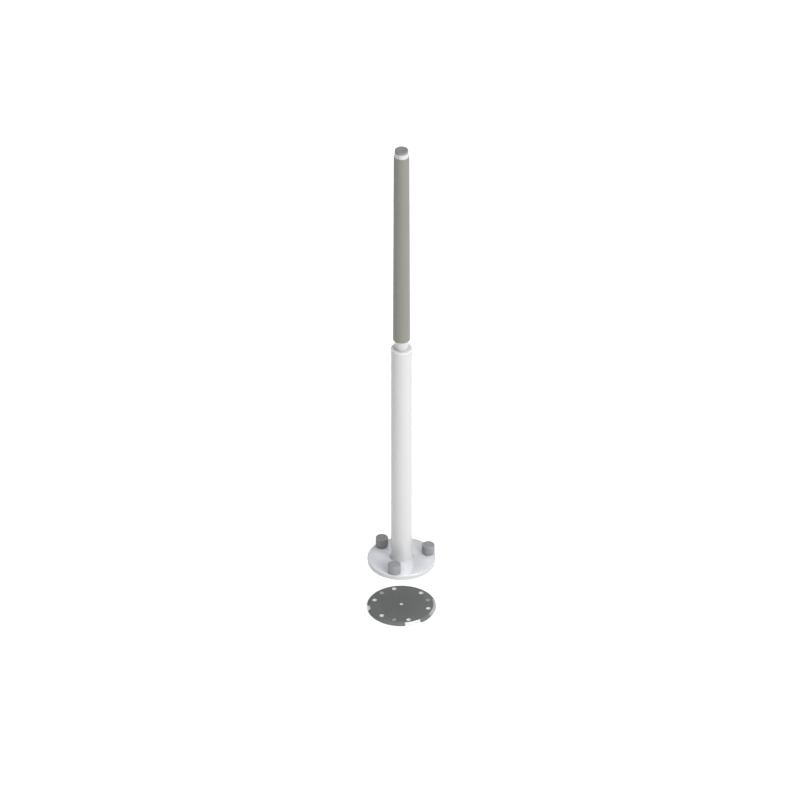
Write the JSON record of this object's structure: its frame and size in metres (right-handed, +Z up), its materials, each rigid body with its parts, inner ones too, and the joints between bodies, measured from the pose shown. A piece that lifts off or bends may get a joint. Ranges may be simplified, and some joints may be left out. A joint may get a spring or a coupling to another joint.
{
  "type": "omnidirectional antenna",
  "caption": "Omnidirectional mast antenna: grey tapered radome on a white tube and round flange, held by thumbscrews above its separate mounting disc.",
  "frame": {"origin": "centre of the mounting disc's underside, on the surface the disc is fixed to", "axes": "+Z up along the antenna's axis; -Y is the front; the first thumbscrew stands 15 degrees from +X towards +Y"},
  "size_m": [0.164, 0.164, 1.316],
  "materials": {
    "disc_paint": "semi-matt dark grey powder coat on steel plate",
    "pale_foam": "thin white closed-cell pad, matt",
    "zinc_steel": "bright zinc-plated steel",
    "white_paint": "glossy bluish-white powder coat on steel",
    "knob_plastic": "grey moulded plastic, fine matt grain",
    "stainless": "stainless steel thread",
    "washer_nylon": "natural nylon",
    "radome_shell": "warm grey glass-fibre radome, satin",
    "collar_plastic": "white moulded plastic",
    "cap_plastic": "grey moulded plastic, matt",
    "black_rubber": "black nitrile rubber",
    "copper_line": "drawn copper, slightly dull",
    "brass": "drawn brass",
    "ptfe": "white fluoropolymer",
    "spacer_foam": "white expanded foam",
    "bare_aluminium": "machined aluminium",
    "circuit_board": "green glass-epoxy laminate",
    "cable_jacket": "black flexible cable jacket",
    "nickel": "nickel plating",
    "ferrite": "dark grey sintered ferrite"
  },
  "bodies": {
    "mount": {"mounting_disc": "disc_paint", "disc_pad": "pale_foam", "thread_inserts": "zinc_steel"},
    "screw_1_washer": {"thumb_washer_1": "washer_nylon"},
    "screw_1_knob": {"thumb_knob_1": "knob_plastic", "thumb_stud_1": "stainless"},
    "screw_2_washer": {"thumb_washer_2": "washer_nylon"},
    "screw_2_knob": {"thumb_knob_2": "knob_plastic", "thumb_stud_2": "stainless"},
    "screw_3_washer": {"thumb_washer_3": "washer_nylon"},
    "screw_3_knob": {"thumb_knob_3": "knob_plastic", "thumb_stud_3": "stainless"},
    "antenna": {"plate_screws": "zinc_steel", "base_flange": "white_paint", "mast_tube": "white_paint", "weld_bead": "white_paint", "mast_bush": "white_paint", "neck_ferrule": "white_paint", "radome": "radome_shell", "top_collar": "collar_plastic", "top_cap": "cap_plastic", "neck_seal": "black_rubber", "cap_seal": "black_rubber", "jack_seal": "black_rubber", "feed_line": "copper_line", "dipole_sleeves": "brass", "jack_contact": "brass", "gap_insulators": "ptfe", "jack_insulator": "ptfe", "foam_spacers": "spacer_foam", "cable_spacers": "spacer_foam", "matching_can": "bare_aluminium", "matching_lid": "bare_aluminium", "support_ring": "bare_aluminium", "connector_plate": "bare_aluminium", "matching_board": "circuit_board", "feed_cable": "cable_jacket", "jack_body": "nickel", "jack_nut": "nickel", "crimp_sleeve": "nickel", "choke_beads": "ferrite"}
  },
  "joints": [
    {"name": "antenna_lift", "type": "slide", "parent": "mount", "child": "antenna", "axis": [0, 0, 1], "range_m": [-0.1258, 0]},
    {"name": "screw_1_rise", "type": "slide", "parent": "antenna", "child": "screw_1_washer", "axis": [0, 0, 1], "range_m": [0, 0.01]},
    {"name": "screw_1_turn", "type": "hinge", "parent": "screw_1_washer", "child": "screw_1_knob", "pos_m": [0.06375, 0.01708, 0.158], "axis": [0, 0, 1], "range_deg": [0, 2880]},
    {"name": "screw_2_rise", "type": "slide", "parent": "antenna", "child": "screw_2_washer", "axis": [0, 0, 1], "range_m": [0, 0.01]},
    {"name": "screw_2_turn", "type": "hinge", "parent": "screw_2_washer", "child": "screw_2_knob", "pos_m": [-0.04667, 0.04667, 0.158], "axis": [0, 0, 1], "range_deg": [0, 2880]},
    {"name": "screw_3_rise", "type": "slide", "parent": "antenna", "child": "screw_3_washer", "axis": [0, 0, 1], "range_m": [0, 0.01]},
    {"name": "screw_3_turn", "type": "hinge", "parent": "screw_3_washer", "child": "screw_3_knob", "pos_m": [-0.01708, -0.06375, 0.158], "axis": [0, 0, 1], "range_deg": [0, 2880]}
  ],
  "couplings": [
    {"joint": "screw_1_turn", "follows": "screw_1_rise", "rad_per_m": 5026.5},
    {"joint": "screw_2_turn", "follows": "screw_2_rise", "rad_per_m": 5026.5},
    {"joint": "screw_3_turn", "follows": "screw_3_rise", "rad_per_m": 5026.5}
  ]
}
